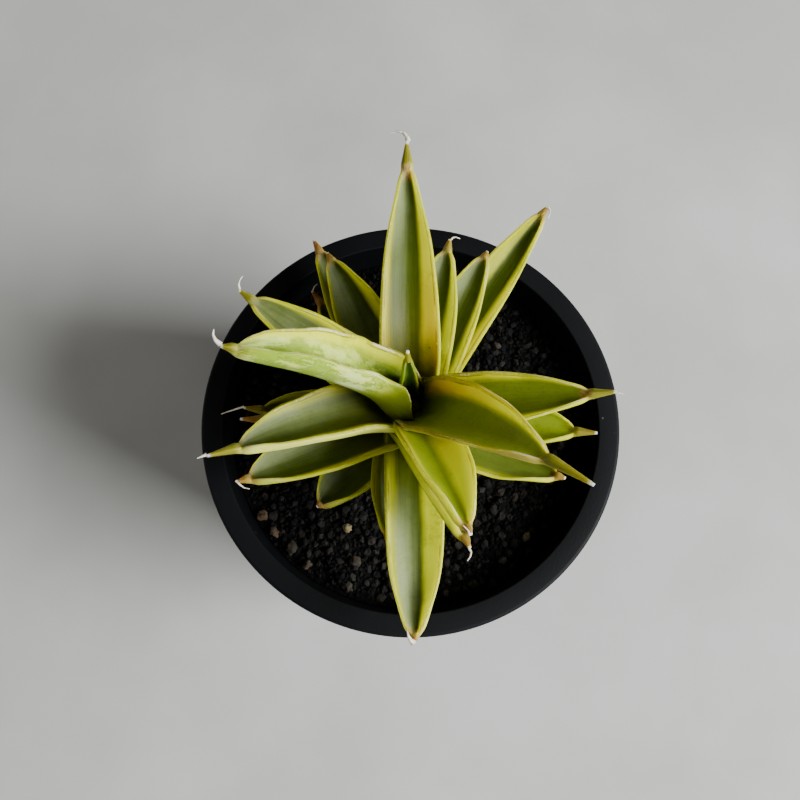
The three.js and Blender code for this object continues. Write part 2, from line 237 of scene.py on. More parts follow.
# White dried threads that curl on from the tips, in millimetres: leaf number, radius at
# the start, and points from the tip, to the right, up in the picture and in height
THREADS = [
    (2, 0.65, [(0, 0, 0), (-1.0, 0.8, 0.5), (-1.5, 1.8, 0.9), (-1.4, 3.0, 1.0)]),
    (4, 0.75, [(0, 0, 0), (-0.3, 1.2, 0.2), (-1.1, 2.2, 0.3), (-2.5, 2.7, 0.2), (-4.4, 2.6, -0.3)]),
    (5, 0.5, [(0, 0, 0), (-1.0, -0.4, 0.1), (-2.1, -0.9, 0.1)]),
    (6, 0.25, [(0, 0, 0), (0.8, -0.1, 0.1), (1.6, -0.4, 0.3)]),
    (7, 0.3, [(0, 0, 0), (-0.4, 0.9, 0.8), (-1.5, 2.0, 1.0)]),
    (8, 0.34, [(0, 0, 0), (-0.3, 1.2, 0.3), (0.0, 2.2, 0.6), (0.7, 3.2, 0.8)]),
    (9, 0.3, [(0, 0, 0), (0.4, 0.5, 0.1), (1.2, 0.6, 0.1), (2.3, 0.3, -0.2)]),
    (10, 0.34, [(0, 0, 0), (0.5, -1.0, 0.0), (0.3, -2.0, -0.2), (-0.4, -3.0, -0.3)]),
    (12, 0.85, [(0, 0, 0), (-0.6, 0.5, 0.6), (-1.2, 1.6, 1.2), (-1.5, 2.8, 1.4)]),
    (13, 0.34, [(0, 0, 0), (1.0, -1.0, 0.0), (2.1, -1.8, 0.0), (3.6, -2.1, 0.2)]),
    (17, 0.36, [(0, 0, 0), (0.4, -0.8, 0.1), (0.3, -2.0, 0.1), (-0.2, -3.2, 0.0)]),
    (22, 0.32, [(0, 0, 0), (-2.2, -0.8, 0.3), (-4.4, -1.6, 0.5), (-6.2, -2.3, 0.5)]),
    (23, 0.25, [(0, 0, 0), (0.4, 1.0, 0.2), (1.3, 1.8, 0.3)]),
]
THREAD_END = 0.1
THREAD_THINNING = 0.8
THREAD_STEPS = 14
THREAD_SIDES = 10

# Grit: how its grains lie and break, then the sizes of the two sorts in metres
GRAIN_LEAST_UPWARD = 0.3
GRAIN_DENSITY = 3000000.0
GRAIN_STRETCH = ((0.7, 0.7, 0.6), (1.25, 1.1, 0.95))
GRAIN_TURN = ((-0.5, -0.5, -3.1), (0.5, 0.5, 3.1))
GRAIN_ROUGH_SCALE = 900.0
GRAIN_ROUGH_DEPTH = 1.1
FINE_GRIT = dict(Spacing=0.0011, Smallest=0.0005, Largest=0.00095, Seed=3, Facets=1, Reach=0.0525)
COARSE_GRIT = dict(Spacing=0.0026, Smallest=0.00085, Largest=0.0015, Seed=8, Facets=2, Reach=0.0515)

# Larger stones: place in millimetres, radius, and tone from 1 (dark grey) to 4 (cream)
PEBBLE_RISE = 1.1
PEBBLE_SQUAT = (1, 0.8, 0.6)
PEBBLE_TURN = 2.4
PEBBLE_LUMPS = 1.6
PEBBLE_LUMP_DEPTH = 0.5
PEBBLE_FACETS = 3
PEBBLES = [
    (-42.7, -26.4, 1.7, 3.0),
    (-39.2, -31.2, 1.45, 2.9),
    (-34.2, -35.5, 2.0, 2.0),
    (-29.4, -40.4, 1.4, 2.4),
    (-18.2, -30.0, 1.4, 4.0),
    (-15.7, -39.4, 1.7, 1.6),
    (-17.5, -46.6, 1.4, 2.2),
    (33.6, -32.6, 1.5, 3.0),
    (26.5, -39.1, 1.3, 1.8),
    (26.5, 25.2, 1.2, 2.0),
]

# Half the floor's width, in metres
FLOOR_REACH = 1.5


# Node trees written as arithmetic
class Wire:
    """An output socket that joins in arithmetic like a number."""

    def __init__(self, tree, socket):
        self.tree = tree
        self.socket = socket

    def __add__(self, other):
        return self.tree.maths("ADD", self, other)

    def __sub__(self, other):
        return self.tree.maths("SUBTRACT", self, other)

    def __rsub__(self, other):
        return self.tree.maths("SUBTRACT", other, self)

    def __mul__(self, other):
        return self.tree.maths("MULTIPLY", self, other)

    __radd__ = __add__
    __rmul__ = __mul__

    def above(self, low, high):
        """0 below low, 1 above high, with a soft step between."""
        return self.tree.node(
            "ShaderNodeMapRange", {"interpolation_type": "SMOOTHSTEP"},
            {"Value": self, "From Min": low, "From Max": high})

    def size(self):
        return self.tree.maths("ABSOLUTE", self, 0.0)

    def most(self, other):
        return self.tree.maths("MAXIMUM", self, other)


class Tree:
    """A shader or geometry node tree that nodes are added to."""

    def __init__(self, node_tree):
        self.node_tree = node_tree

    def node(self, kind, settings=None, sockets=None, output=0):
        made = self.node_tree.nodes.new(kind)
        for name, value in (settings or {}).items():
            setattr(made, name, value)
        self.plug(made, sockets or {})
        return Wire(self, made.outputs[output])

    def plug(self, made, sockets):
        for key, value in sockets.items():
            socket = next(s for s in made.inputs if key in (s.identifier, s.name))
            if isinstance(value, Wire):
                self.node_tree.links.new(value.socket, socket)
            elif isinstance(value, tuple) and socket.type == "RGBA":
                socket.default_value = (*value, 1)
            else:
                socket.default_value = value

    def maths(self, operation, first, second):
        return self.node("ShaderNodeMath", {"operation": operation},
                         {"Value": first, "Value_001": second})


class Finish(Tree):
    """A procedural material."""

    def __init__(self, name, constants=None):
        self.material = bpy.data.materials.new(name)
        self.material.use_nodes = True
        super().__init__(self.material.node_tree)
        self.node_tree.nodes.clear()
        self.shader = self.node_tree.nodes.new("ShaderNodeBsdfPrincipled")
        output = self.node_tree.nodes.new("ShaderNodeOutputMaterial")
        self.node_tree.links.new(self.shader.outputs[0], output.inputs["Surface"])
        self.set(constants or {})

    def set(self, sockets):
        self.plug(self.shader, sockets)

    def blend(self, share, under, over, mode="MIX"):
        """Colour under where share is 0, over where it is 1."""
        return self.node("ShaderNodeMix", {"data_type": "RGBA", "blend_type": mode},
                         {"Factor_Float": share, "A_Color": under, "B_Color": over}, "Result")

    def noise(self, vector, scale=1.0, detail=2.0, roughness=0.5):
        return self.node("ShaderNodeTexNoise", None,
                         {"Vector": vector, "Scale": scale, "Detail": detail, "Roughness": roughness})

    def spots(self, vector, scale):
        """Distance from the nearest of many scattered points."""
        return self.node("ShaderNodeTexVoronoi", None, {"Vector": vector, "Scale": scale})

    def join(self, x, y, z):
        return self.node("ShaderNodeCombineXYZ", None, {"X": x, "Y": y, "Z": z})

    def split(self, vector):
        parts = self.node("ShaderNodeSeparateXYZ", None, {"Vector": vector}).socket.node
        return [Wire(self, socket) for socket in parts.outputs]

    def place(self):
        return self.node("ShaderNodeTexCoord", None, None, "Object")

    def attribute(self, name, output):
        return self.node("ShaderNodeAttribute", {"attribute_name": name}, None, output)

    def bump(self, height, distance):
        self.set({"Normal": self.node(
            "ShaderNodeBump", None, {"Height": height, "Distance": distance, "Strength": 1.0})})


def paint(red, green, blue):
    """A colour given as it looks on a screen, from 0 to 255, for a shader."""
    return tuple((value / 255 / 12.92) if value < 10.3 else ((value / 255 + 0.055) / 1.055) ** 2.4
                 for value in (red, green, blue))


# Mesh helpers
def new_object(name, mesh):
    made = bpy.data.objects.new(name, mesh)
    bpy.context.scene.collection.objects.link(made)
    return made


def settle(piece):
    """Makes a piece's modifiers part of its plain mesh."""
    graph = bpy.context.evaluated_depsgraph_get()
    mesh = bpy.data.meshes.new_from_object(piece.evaluated_get(graph))
    old = piece.data
    piece.modifiers.clear()
    piece.data = mesh
    bpy.data.meshes.remove(old)


def boolean(piece, other, operation):
    step = piece.modifiers.new(operation, "BOOLEAN")
    step.operation = operation
    step.solver = "MANIFOLD"
    step.object = other
    settle(piece)


def put(piece, material, slot, *nodes):
    """Gives a finished piece its material and its body, and hides the nodes it stands for. slot is not
    used.
    """
    piece.data.materials.clear()
    piece.data.materials.append(material)
    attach(piece, "root")
    if nodes:
        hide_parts(*nodes)


def drop(piece):
    bpy.data.objects.remove(piece)


def repaint(node, material):
    """Gives a CAD node that stays a finish of its own."""
    node.data.materials.clear()
    node.data.materials.append(material)


def smooth_faces(mesh):
    mesh.polygons.foreach_set("use_smooth", [True] * len(mesh.polygons))


def mix(a, b, share):
    return a + (b - a) * share


def smooth(low, high, value):
    share = min(max((value - low) / (high - low), 0.0), 1.0)
    return share * share * (3 - 2 * share)


def lathe(name, profile, segments):
    """A closed shape turned round the Z axis from points (radius, height) in millimetres."""
    shape = bmesh.new()
    rings = []
    for radius, height in profile:
        if radius == 0:
            rings.append([shape.verts.new((0, 0, height * MM))])
            continue
        rings.append([
            shape.verts.new((radius * math.cos(turn) * MM, radius * math.sin(turn) * MM, height * MM))
            for turn in (2 * math.pi * i / segments for i in range(segments))])
    for low, high in zip(rings, rings[1:]):
        for i in range(segments):
            j = (i + 1) % segments
            corners = []
            for ring, order in ((low, (i, j)), (high, (j, i))):
                corners += [ring[0]] if len(ring) == 1 else [ring[k] for k in order]
            shape.faces.new(corners)
    bmesh.ops.recalc_face_normals(shape, faces=shape.faces)
    mesh = bpy.data.meshes.new(name)
    shape.to_mesh(mesh)
    shape.free()
    return new_object(name, mesh)


def arc(centre_radius, centre_height, radius, start, end, steps):
    return [(centre_radius + radius * math.cos(turn), centre_height + radius * math.sin(turn))
            for turn in (mix(start, end, i / steps) * DEGREE for i in range(steps + 1))]


# Pot
def make_pot():
    foot_inner = POT_FOOT_RADIUS - FOOT_WALL
    profile = [
        (0, 0),
        *arc(POT_FOOT_RADIUS - FOOT_ROUND, FOOT_ROUND, FOOT_ROUND, -90, 0, ROUND_STEPS),
        *[(mix(POT_FOOT_RADIUS, POT_RADIUS, share), POT_HEIGHT * share) for share in OUTSIDE_STOPS],
        *arc(POT_RADIUS - RIM_ROUND, POT_HEIGHT - RIM_ROUND, RIM_ROUND, 0, 90, ROUND_STEPS),
        *arc(RIM_INNER_RADIUS + LIP_ROUND, POT_HEIGHT - LIP_ROUND, LIP_ROUND, 90, 180, LIP_STEPS),
        *[(mix(RIM_INNER_RADIUS, foot_inner, share), mix(POT_HEIGHT, FLOOR_THICKNESS, share))
          for share in INSIDE_STOPS],
        (foot_inner - BORE_ROUND, FLOOR_THICKNESS),
        (0, FLOOR_THICKNESS),
    ]
    pot = lathe("pot_shell", profile, POT_SEGMENTS)
    for i in range(DRAIN_HOLES):
        turn = 2 * math.pi * i / DRAIN_HOLES
        drill = lathe("drill", [
            (0, DRILL_BOTTOM), (DRAIN_HOLE_RADIUS, DRILL_BOTTOM),
            (DRAIN_HOLE_RADIUS, DRILL_TOP), (0, DRILL_TOP)], DRILL_SEGMENTS)
        drill.data.transform(Matrix.Translation((
            DRAIN_CIRCLE_RADIUS * math.cos(turn) * MM, DRAIN_CIRCLE_RADIUS * math.sin(turn) * MM, 0)))
        boolean(pot, drill, "DIFFERENCE")
        drop(drill)
    smooth_faces(pot.data)
    pot.data.set_sharp_from_angle(angle=POT_SHARP_ANGLE * DEGREE)
    return pot


# Leaves
def stem_radius(height):
    return mix(STEM_RADIUS, STEM_TOP_RADIUS, min(max(height / STEM_HEIGHT, 0), 1))


class Spine:
    """The middle line of a leaf along the bottom of its channel, and the way the leaf faces."""

    SAMPLES = 400

    def __init__(self, leaf):
        foot = np.array([stem_radius(leaf["foot"]) - FOOT_SINK, 0, leaf["foot"]])
        tip = np.array([leaf["reach"], leaf["swing"], leaf["tip"]])
        hold = np.linalg.norm(foot - tip) * HANDLE
        rise = leaf["rise"] * DEGREE
        fall = leaf["fall"] * DEGREE
        self.roll = leaf["roll"] * DEGREE
        self.bends = (
            foot,
            foot + hold * np.array([math.cos(rise), 0, math.sin(rise)]),
            np.array([tip[0] - hold * math.cos(fall), tip[1] / 2, tip[2] - hold * math.sin(fall)]),
            tip,
        )
        points = np.array([self.point(i / self.SAMPLES) for i in range(self.SAMPLES + 1)])
        steps = np.linalg.norm(np.diff(points, axis=0), axis=1)
        self.runs = np.concatenate([[0], np.cumsum(steps)])
        self.length = self.runs[-1]

    def point(self, t):
        a, b, c, d = self.bends
        u = 1 - t
        return u ** 3 * a + 3 * u * u * t * b + 3 * u * t * t * c + t ** 3 * d

    def slope(self, t):
        a, b, c, d = self.bends
        u = 1 - t
        ahead = u * u * (b - a) + 2 * u * t * (c - b) + t * t * (d - c)
        return ahead / np.linalg.norm(ahead)

    def at(self, along):
        t = np.interp(along * self.length, self.runs, np.linspace(0, 1, self.SAMPLES + 1))
        ahead = self.slope(t)
        side = np.array([0, 1, 0]) - ahead * ahead[1]
        side /= np.linalg.norm(side)
        inward = np.cross(ahead, side)
        roll = self.roll * smooth(ROLL_START, ROLL_END, along)
        turned_side = side * math.cos(roll) + inward * math.sin(roll)
        turned_inward = inward * math.cos(roll) - side * math.sin(roll)
        return self.point(t), turned_side, turned_inward


def channel_half(half_width, fold, roundness, steps):
    """Arrays across, height and slope of half a channel, from its bottom to its edge."""
    slopes = fold * ((np.arange(steps) + 0.5) / steps) ** roundness
    step = half_width / steps
    across = np.concatenate([[0], np.cumsum(step * np.cos(slopes))])
    height = np.concatenate([[0], np.cumsum(step * np.sin(slopes))])
    return across, height, fold * (np.arange(steps + 1) / steps) ** roundness


def ring_places(half_steps, edge_steps):
    """Places round a leaf: (index across, turn), where turn is 0 on the channel and 1 on the keel."""
    sweep = range(-half_steps, half_steps + 1)
    turns = [i / edge_steps for i in range(1, edge_steps)]
    return ([(i, 0.0) for i in sweep] + [(half_steps, turn) for turn in turns]
            + [(-i, 1.0) for i in sweep] + [(-half_steps, 1 - turn) for turn in turns])


def leaf_section(leaf, along, length, phase, grow, places, half_steps):
    """Points (side, inward) of a leaf's cross-section at those places. grow fattens and fills it."""
    run = min(along / leaf["closing"], 1)
    opened = smooth(0, OPEN_END, run)
    foot_fold = (leaf["width"] / 2) * SHOULDER / (stem_radius(leaf["foot"]) + SHEATH_ROOM) / DEGREE
    shutting = smooth(CLOSING_START, 1, run) ** CLOSING_POWER
    fold = mix(mix(foot_fold, leaf["fold"], opened), CLOSED_FOLD, shutting) * DEGREE
    roundness = mix(mix(1, CHANNEL_ROUNDNESS, opened), 1, shutting)
    shoulder = mix(SHOULDER, 1, smooth(0, SHOULDER_END, run))
    tapered = (1 - run ** leaf["taper"]) ** END_ROUNDNESS
    half_width = (leaf["width"] / 2) * shoulder * tapered + LEAST_HALF_WIDTH
    thinned = smooth(OPEN_END, 1, run)
    rib = mix(RIB_THICKNESS, RIB_END_THICKNESS, thinned) * leaf["thick"]
    rim = mix(EDGE_FOOT_THICKNESS, EDGE_THICKNESS, thinned) * leaf["thick"]
    awl = smooth(-AWL_BLEND, AWL_BLEND, along - leaf["closing"])
    beyond = max((along - leaf["closing"]) / (1 - leaf["closing"]), 0)
    awl_radius = mix(AWL_RADIUS * leaf["thick"] * leaf["awl"], TIP_RADIUS, beyond ** AWL_POWER) + grow
    travel = along * length
    wave = leaf["wave"] * math.sin(travel * 2 * math.pi / WAVE_LENGTH + phase)
    across, height, slope = channel_half(half_width, fold, roundness, half_steps)
    points = []
    for index, turn in places:
        hand = (index > 0) - (index < 0)
        share = abs(index) / half_steps
        lean = slope[abs(index)]
        edge = share ** EDGE_POWER
        through = (1 - math.cos(math.pi * turn)) / 2
        off = mix(grow, -mix(rib, rim, edge) - grow, through)
        bulge = EDGE_BULGE * rim * (1 - shutting)
        past = bulge * math.sin(math.pi * turn) if grow == 0 else (grow + bulge) * (share == 1)
        ripple = 0 if grow else (
            RIPPLE_DEPTH * math.sin(travel * RIPPLE_FAST + phase * 3 + hand)
            * math.sin(travel * RIPPLE_SLOW + hand * 2))
        open_side = across[abs(index)] - off * math.sin(lean) + past * math.cos(lean)
        open_side = max(open_side, share * LEAST_SPREAD)
        open_rise = (height[abs(index)] + off * math.cos(lean) + past * math.sin(lean)
                     + (wave * hand + ripple) * edge * (1 - awl))
        if grow > 0 and turn == 0:
            open_rise = max(open_rise, height[-1] + grow)
        around = mix(share * AWL_INNER_SPREAD, 180 - share * AWL_OUTER_SPREAD, through) * DEGREE
        points.append((hand * mix(open_side, awl_radius * math.sin(around), awl),
                       mix(open_rise, awl_radius * math.cos(around), awl)))
    return points


def make_leaf(name, leaf, number, grow, channel_steps, awl_steps, half_steps, edge_steps):
    """A closed leaf in its place, and its tip. Each face corner keeps how far across, along and
    round the leaf it lies."""
    spine = Spine(leaf)
    phase = number * PHASE_STEP
    places = ring_places(half_steps, edge_steps)
    corners = len(places)
    stations = [leaf["closing"] * (1 - (1 - i / channel_steps) ** STEP_GATHER)
                for i in range(channel_steps)]
    stations += [mix(leaf["closing"], 1, i / awl_steps) for i in range(awl_steps + 1)]
    points = []
    marks = []
    for along in stations:
        centre, side, inward = spine.at(along)
        section = leaf_section(leaf, along, spine.length, phase, grow, places, half_steps)
        points += [centre + side * across + inward * depth for across, depth in section]
        marks += [(index / half_steps, along, turn) for index, turn in places]
    faces = []
    for i in range(len(stations) - 1):
        for j in range(corners):
            a = i * corners + j
            b = i * corners + (j + 1) % corners
            faces.append((a, a + corners, b + corners, b))
    last = (len(stations) - 1) * corners
    for start, flip in ((0, False), (last, True)):
        for j in range(half_steps * 2):
            under = start + corners - edge_steps - j
            quad = (start + j, start + j + 1, under - 1, under)
            faces.append(tuple(reversed(quad)) if flip else quad)
        for turns in (range(half_steps * 2, half_steps * 2 + edge_steps + 1),
                      [corners - edge_steps + k for k in range(edge_steps)] + [0]):
            fan = [start + k for k in turns]
            faces.append(tuple(reversed(fan) if flip else fan))
    mesh = bpy.data.meshes.new(name)
    turn = Matrix.Rotation(leaf["azimuth"] * DEGREE, 3, "Z")
    spun = np.array(points) @ np.array(turn).T + np.array([0, 0, SOIL_LEVEL])
    mesh.from_pydata((spun * MM).tolist(), [], faces)
    place = mesh.attributes.new("leaf_place", "FLOAT_VECTOR", "CORNER")
    vertices = np.zeros(len(mesh.loops), dtype=np.int32)
    mesh.loops.foreach_get("vertex_index", vertices)
    place.data.foreach_set("vector", np.array(marks, dtype=np.float32)[vertices].ravel())
    return new_object(name, mesh), Vector(spun[-1] * MM)


def keep_largest(piece):
    """Leaves only the largest joined body of a mesh."""
    shape = bmesh.new()
    shape.from_mesh(piece.data)
    left = set(shape.verts)
    bodies = []
    while left:
        body = set()
        stack = [next(iter(left))]
        while stack:
            vertex = stack.pop()
            if vertex in body:
                continue
            body.add(vertex)
            stack += [edge.other_vert(vertex) for edge in vertex.link_edges]
        left -= body
        bodies.append(body)
    largest = max(bodies, key=len)
    spare = [vertex for vertex in shape.verts if vertex not in largest]
    bmesh.ops.delete(shape, geom=spare, context="VERTS")
    shape.to_mesh(piece.data)
    shape.free()


def leaf_finish(leaf, number, length):
    """Skin of one leaf: olive heart, yellow margins, fine edge line, worn edges and a dried tip, with
    painted sheen, highlights and shade.
    """
    skin = Finish(f"leaf_skin_{number:02d}", LEAF_GLOSS)
    tint = {name: paint(*colour) for name, colour in LEAF_PAINTS.items()}
    across, along, outer = skin.split(skin.attribute("leaf_place", "Vector"))
    side = across * (leaf["width"] / 2)
    travel = along * length
    seed = number * SEED_STEP
    face = outer * 6 + seed
    spot = skin.place()
    closing = leaf["closing"]
    # sunny is how squarely each half of the channel faces the lamp on the right, the other way round on
    # the keel; it places the painted light and shade below
    sunny = across * (1 - outer * 2) * math.sin((leaf["azimuth"] + SUN_TURN) * DEGREE)
    lit = sunny.above(-0.15, 0.45)
    verge = across.size()

    streak, hair, fleck, blot = (
        skin.noise(skin.join(side * wide, travel * tall, face), 1.0, detail, roughness)
        for wide, tall, detail, roughness in (STREAK, HAIR, FLECK, BLOT))
    cloud = skin.noise(spot, 95.0, 4.0, 0.6)
    drift = skin.noise(skin.join(travel * 0.12, outer * 3 + seed, 0.0), 1.0, 2.0)
    vein = 1 - (blot + (fleck - 0.5) * 0.25 - 0.47).size().above(0.0, 0.045)

    # Channel: a green heart, painted brighter on some leaves, with a grey-green painted sheen and pale
    # lime clouds, between two yellow margins
    heart = skin.blend(hair.above(0.3, 0.7), tint["heart_dark"], tint["heart_light"])
    gilt = (1 - along.above(0.05, 0.6)) * (0.35 + leaf["gold"] * 0.5)
    heart = skin.blend(gilt, heart, tint["heart_gold"])
    # Painted light: the heart is painted a brighter green on the leaves toward the lamp, in part their
    # own fresher green
    heart = skin.blend((0.75 + (cloud - 0.5) * 0.8) * leaf["glow"], heart, tint["glow"])
    # Painted sheen: grey-green on the half of the channel that faces the lamp, where it would mirror
    # the lamp, over some real waxy coat
    sheen = sunny * 0.8 + (streak - 0.5) * 0.6 + (cloud - 0.5) * 0.6
    sheen_and_bloom = (sheen + 0.34).above(0.0, 1.0) * along.above(leaf["high"], leaf["high"] + 0.4)
    heart = skin.blend(sheen_and_bloom * leaf["sheen_share"], heart, tint["sheen_and_bloom"])
    fresh = skin.blend(streak.above(0.4, 0.65), tint["fresh_dark"], tint["fresh_light"])
    heart = skin.blend(leaf["pale"] * 0.9, heart, fresh)
    clouds = (blot + (fleck - 0.5) * 0.3 + along * 0.12).above(0.42, 0.78) * leaf["pale"]
    heart = skin.blend(clouds * 0.85, heart, tint["cloud"])
    heart = skin.blend(vein * leaf["pale"] * 0.5, heart, tint["heart_vein"])
    heart = skin.blend(fleck.above(0.5, 0.75) * 0.25, heart, tint["heart_fleck"])

    wobble = (streak - 0.5) * 0.24 + (drift - 0.5) * 0.14 + (0.5 - along) * 0.16
    left = (across + wobble).above(1 - leaf["left"] - 0.2, 1 - leaf["left"] + 0.12)
    right = (wobble - across).above(1 - leaf["right"] - 0.2, 1 - leaf["right"] + 0.12)
    # Painted light: the margins are lit and shaded copies of one yellow, brighter and more saturated on
    # the half that faces away from the lamp, as if lit through the leaf, and duller on the half that
    # faces it
    lime = skin.blend(lit, tint["lime_shade"], tint["lime_sun"])
    golden = skin.blend(lit, tint["golden_shade"], tint["golden_sun"])
    margin = skin.blend((1 - along.above(0.05, 0.8)) * leaf["gold"], lime, golden)
    margin = skin.blend(hair.above(0.45, 0.75) * 0.25, margin, tint["margin_hair"])
    # Painted highlight: a pale edge on the margin that faces the lamp
    edge_highlight = verge.above(0.8, 1.0) * sunny.above(0.2, 1.0) * 0.5
    margin = skin.blend(edge_highlight, margin, tint["margin_highlight"])
    margin = skin.blend((cloud + fleck * 0.4).above(0.72, 0.9) * 0.35, margin, tint["margin_fleck"])
    channel = skin.blend(left.most(right), heart, margin)

    # Keel: yellow and pale green stripes, with pale patches, lit and shaded edges and painted
    # highlights
    keel = skin.blend(streak.above(0.4, 0.62), tint["keel_dark"], tint["keel_light"])
    # Painted light: the keel's edges take the lit and shaded margin yellow, with a painted highlight on
    # the side that faces the lamp and a pale painted highlight along the edges of the leaves given
    # shine
    keel = skin.blend(verge.above(0.35, 0.85) * 0.85, keel, lime)
    keel = skin.blend(sunny.above(0.2, 0.95) * 0.3, keel, tint["keel_sun"])
    keel = skin.blend(verge.above(0.2, 0.5) * leaf["shine"] * 0.8, keel, tint["keel_shine"])
    green_shift = (1 - (blot + (drift - 0.5) * 0.5).above(0.4, 0.6)) * leaf["patch"]
    keel = skin.blend(green_shift * 0.85, keel, tint["keel_green"])
    mint = (blot + (cloud - 0.5) * 0.5 + (streak - 0.5) * 0.3).above(0.32, 0.76)
    mint = mint * along.above(0.3, 0.56)
    keel = skin.blend(mint * leaf["patch"], keel, tint["keel_mint"])
    keel = skin.blend(vein * leaf["patch"] * 0.8, keel, tint["keel_vein"])
    keel = skin.blend((1 - along.above(0.32, 0.56)) * leaf["patch"], keel, tint["keel_foot"])
    aged = verge.above(0.3, 0.7) * (0.3 + streak.above(0.4, 0.6) * 0.5) * leaf["aged"]
    keel = skin.blend(aged, keel, tint["keel_aged"])
    colour = skin.blend(outer.above(0.08, 0.3), channel, keel)
    colour = skin.blend(leaf["green"] * 0.9, colour, tint["young_green"])
    # Painted shade: the foot of each leaf is darkened toward the stem, where it sits in the shade of
    # the leaves around it, less on the keel
    depth = (1 - along.above(leaf["dark"] - 0.32, leaf["dark"])) * (1 - outer.above(0.1, 0.5) * 0.6)
    colour = skin.blend(depth * leaf["deep"], colour, tint["foot_shade"], "MULTIPLY")

    # Ink line inside the edge, papery wear on it, and specks
    walk = verge + (drift - 0.5) * 0.06 + (hair - 0.5) * 0.02
    ink = walk.above(0.9, 0.93) * (1 - walk.above(0.945, 0.975)) * (1 - outer.above(0.02, 0.1))
    ink = ink * (drift * 0.7 + blot * 0.6).above(0.5, 0.72)
    colour = skin.blend(ink * 0.6, colour, tint["ink"])
    near_end = along.above(closing * 0.8, closing * 0.99)
    level = 0.72 - leaf["wear"] * 0.28
    worn = (drift + (fleck - 0.5) * 0.6 + near_end * 0.12).above(level, level + 0.08)
    rim = walk.above(0.94, 0.985) * (1 - outer.above(0.5, 0.8))
    colour = skin.blend(rim * (1 - worn) * 0.55, colour, tint["rim"])
    colour = skin.blend(rim * worn * 0.85, colour, tint["worn_rim"])
    specks = (1 - skin.spots(spot, 520.0).above(0.08, 0.18)) * (1 - along.above(0.25, 0.7))
    specks = specks * cloud.above(0.5, 0.6)
    colour = skin.blend(specks * 0.6, colour, tint["speck"])

    # Scar where the channel closes, solid awl and dried point
    scar = along.above(closing - 0.05, closing - 0.02)
    scar = scar * (1 - along.above(closing + 0.01, closing + 0.03))
    scar = scar * (1 - outer.above(0.3, 0.7)) * fleck.above(0.42, 0.56) * leaf["scar"]
    awl = along.above(closing - 0.02, closing + 0.03)
    green_awl = skin.blend(streak.above(0.4, 0.6), tint["awl_dark"], tint["awl_light"])
    colour = skin.blend(awl, colour, green_awl)
    colour = skin.blend(scar * 0.8, colour, tint["scar"])
    tanned = (along + verge * 0.035 + (fleck - 0.5) * 0.06).above(closing - 0.025, closing + 0.02)
    colour = skin.blend(tanned * leaf["brown"] * 0.85, colour, tint["tan"])
    rust = along.above(closing, mix(closing, 1, 0.7)) * leaf["brown"]
    colour = skin.blend(rust, colour, tint["rust"])
    dry = along.above(mix(closing, 1, 0.86), mix(closing, 1, 0.98))
    colour = skin.blend(dry, colour, tint["dry_tip"])

    dull = (rim * worn).most(dry)
    skin.set({"Base Color": colour, "Roughness": 0.4 + hair * 0.1 + outer * 0.06 + dull * 0.25})
    skin.bump(hair * 0.4 + streak * 0.4 + fleck * 0.35 + rim * worn * 1.2, 0.00012)
    return skin.material


def make_leaves():
    """All leaves, youngest first. Each is shaped to the stem and the younger leaves it wraps."""
    stem_top = STEM_HEIGHT + SHEATH_GAP
    grown = STEM_RADIUS + SHEATH_GAP
    wrapped = lathe("wrapped", [
        (0, SOIL_LEVEL - STEM_DEPTH - SHEATH_GAP), (grown, SOIL_LEVEL - STEM_DEPTH - SHEATH_GAP),
        (grown, SOIL_LEVEL), (STEM_TOP_RADIUS + SHEATH_GAP, SOIL_LEVEL + stem_top - STEM_TOP_RADIUS),
        (0, SOIL_LEVEL + stem_top)], WRAPPED_SEGMENTS)
    tips = {}
    for index, row in enumerate(LEAVES):
        number = index + 1
        name = f"leaf_{number:02d}"
        leaf = {**LEAF_DEFAULTS, **row}
        piece, tips[number] = make_leaf(f"{name}_blade", leaf, number, 0, **LEAF_DETAIL)
        boolean(piece, wrapped, "DIFFERENCE")
        keep_largest(piece)
        room, _ = make_leaf("room", leaf, number, SHEATH_GAP, **ROOM_DETAIL)
        boolean(wrapped, room, "UNION")
        drop(room)
        smooth_faces(piece.data)
        piece.data.set_sharp_from_angle(angle=LEAF_SHARP_ANGLE * DEGREE)
        put(piece, leaf_finish(leaf, number, Spine(leaf).length), "leaf", name)
    drop(wrapped)
    return tips


# Threads
def thread_tree(material):
    """Tubes along the edges of a mesh, whose radius is kept in an attribute."""
    tree = bpy.data.node_groups.new("dried_threads", "GeometryNodeTree")
    tree.interface.new_socket("Threads", in_out="INPUT", socket_type="NodeSocketGeometry")
    sides = tree.interface.new_socket("Sides", in_out="INPUT", socket_type="NodeSocketInt")
    tree.interface.new_socket("Tubes", in_out="OUTPUT", socket_type="NodeSocketGeometry")
    net = Tree(tree)
    given = net.node("NodeGroupInput")
    count = Wire(net, given.socket.node.outputs["Sides"])
    radius = net.node("GeometryNodeInputNamedAttribute", {"data_type": "FLOAT"}, {"Name": "radius_at"})
    curve = net.node("GeometryNodeMeshToCurve", None, {"Mesh": given})
    circle = net.node("GeometryNodeCurvePrimitiveCircle", None, {"Resolution": count, "Radius": 1.0})
    tube = net.node("GeometryNodeCurveToMesh", None,
                    {"Curve": curve, "Profile Curve": circle, "Fill Caps": True, "Scale": radius})
    rounded = net.node("GeometryNodeSetShadeSmooth", None, {"Geometry": tube})
    real = net.node("GeometryNodeRealizeInstances", None, {"Geometry": rounded})
    dressed = net.node("GeometryNodeSetMaterial", None, {"Geometry": real, "Material": material})
    net.plug(net.node_tree.nodes.new("NodeGroupOutput"), {"Tubes": dressed})
    return tree, sides.identifier


def thread_finish():
    skin = Finish("dried_thread", {"Roughness": 0.6})
    tone = skin.noise(skin.place(), 900.0, 3.0)
    colour = skin.blend(tone.above(0.35, 0.65), paint(214, 196, 160), paint(246, 242, 232))
    skin.set({"Base Color": colour})
    skin.bump(tone, 0.0001)
    return skin.material


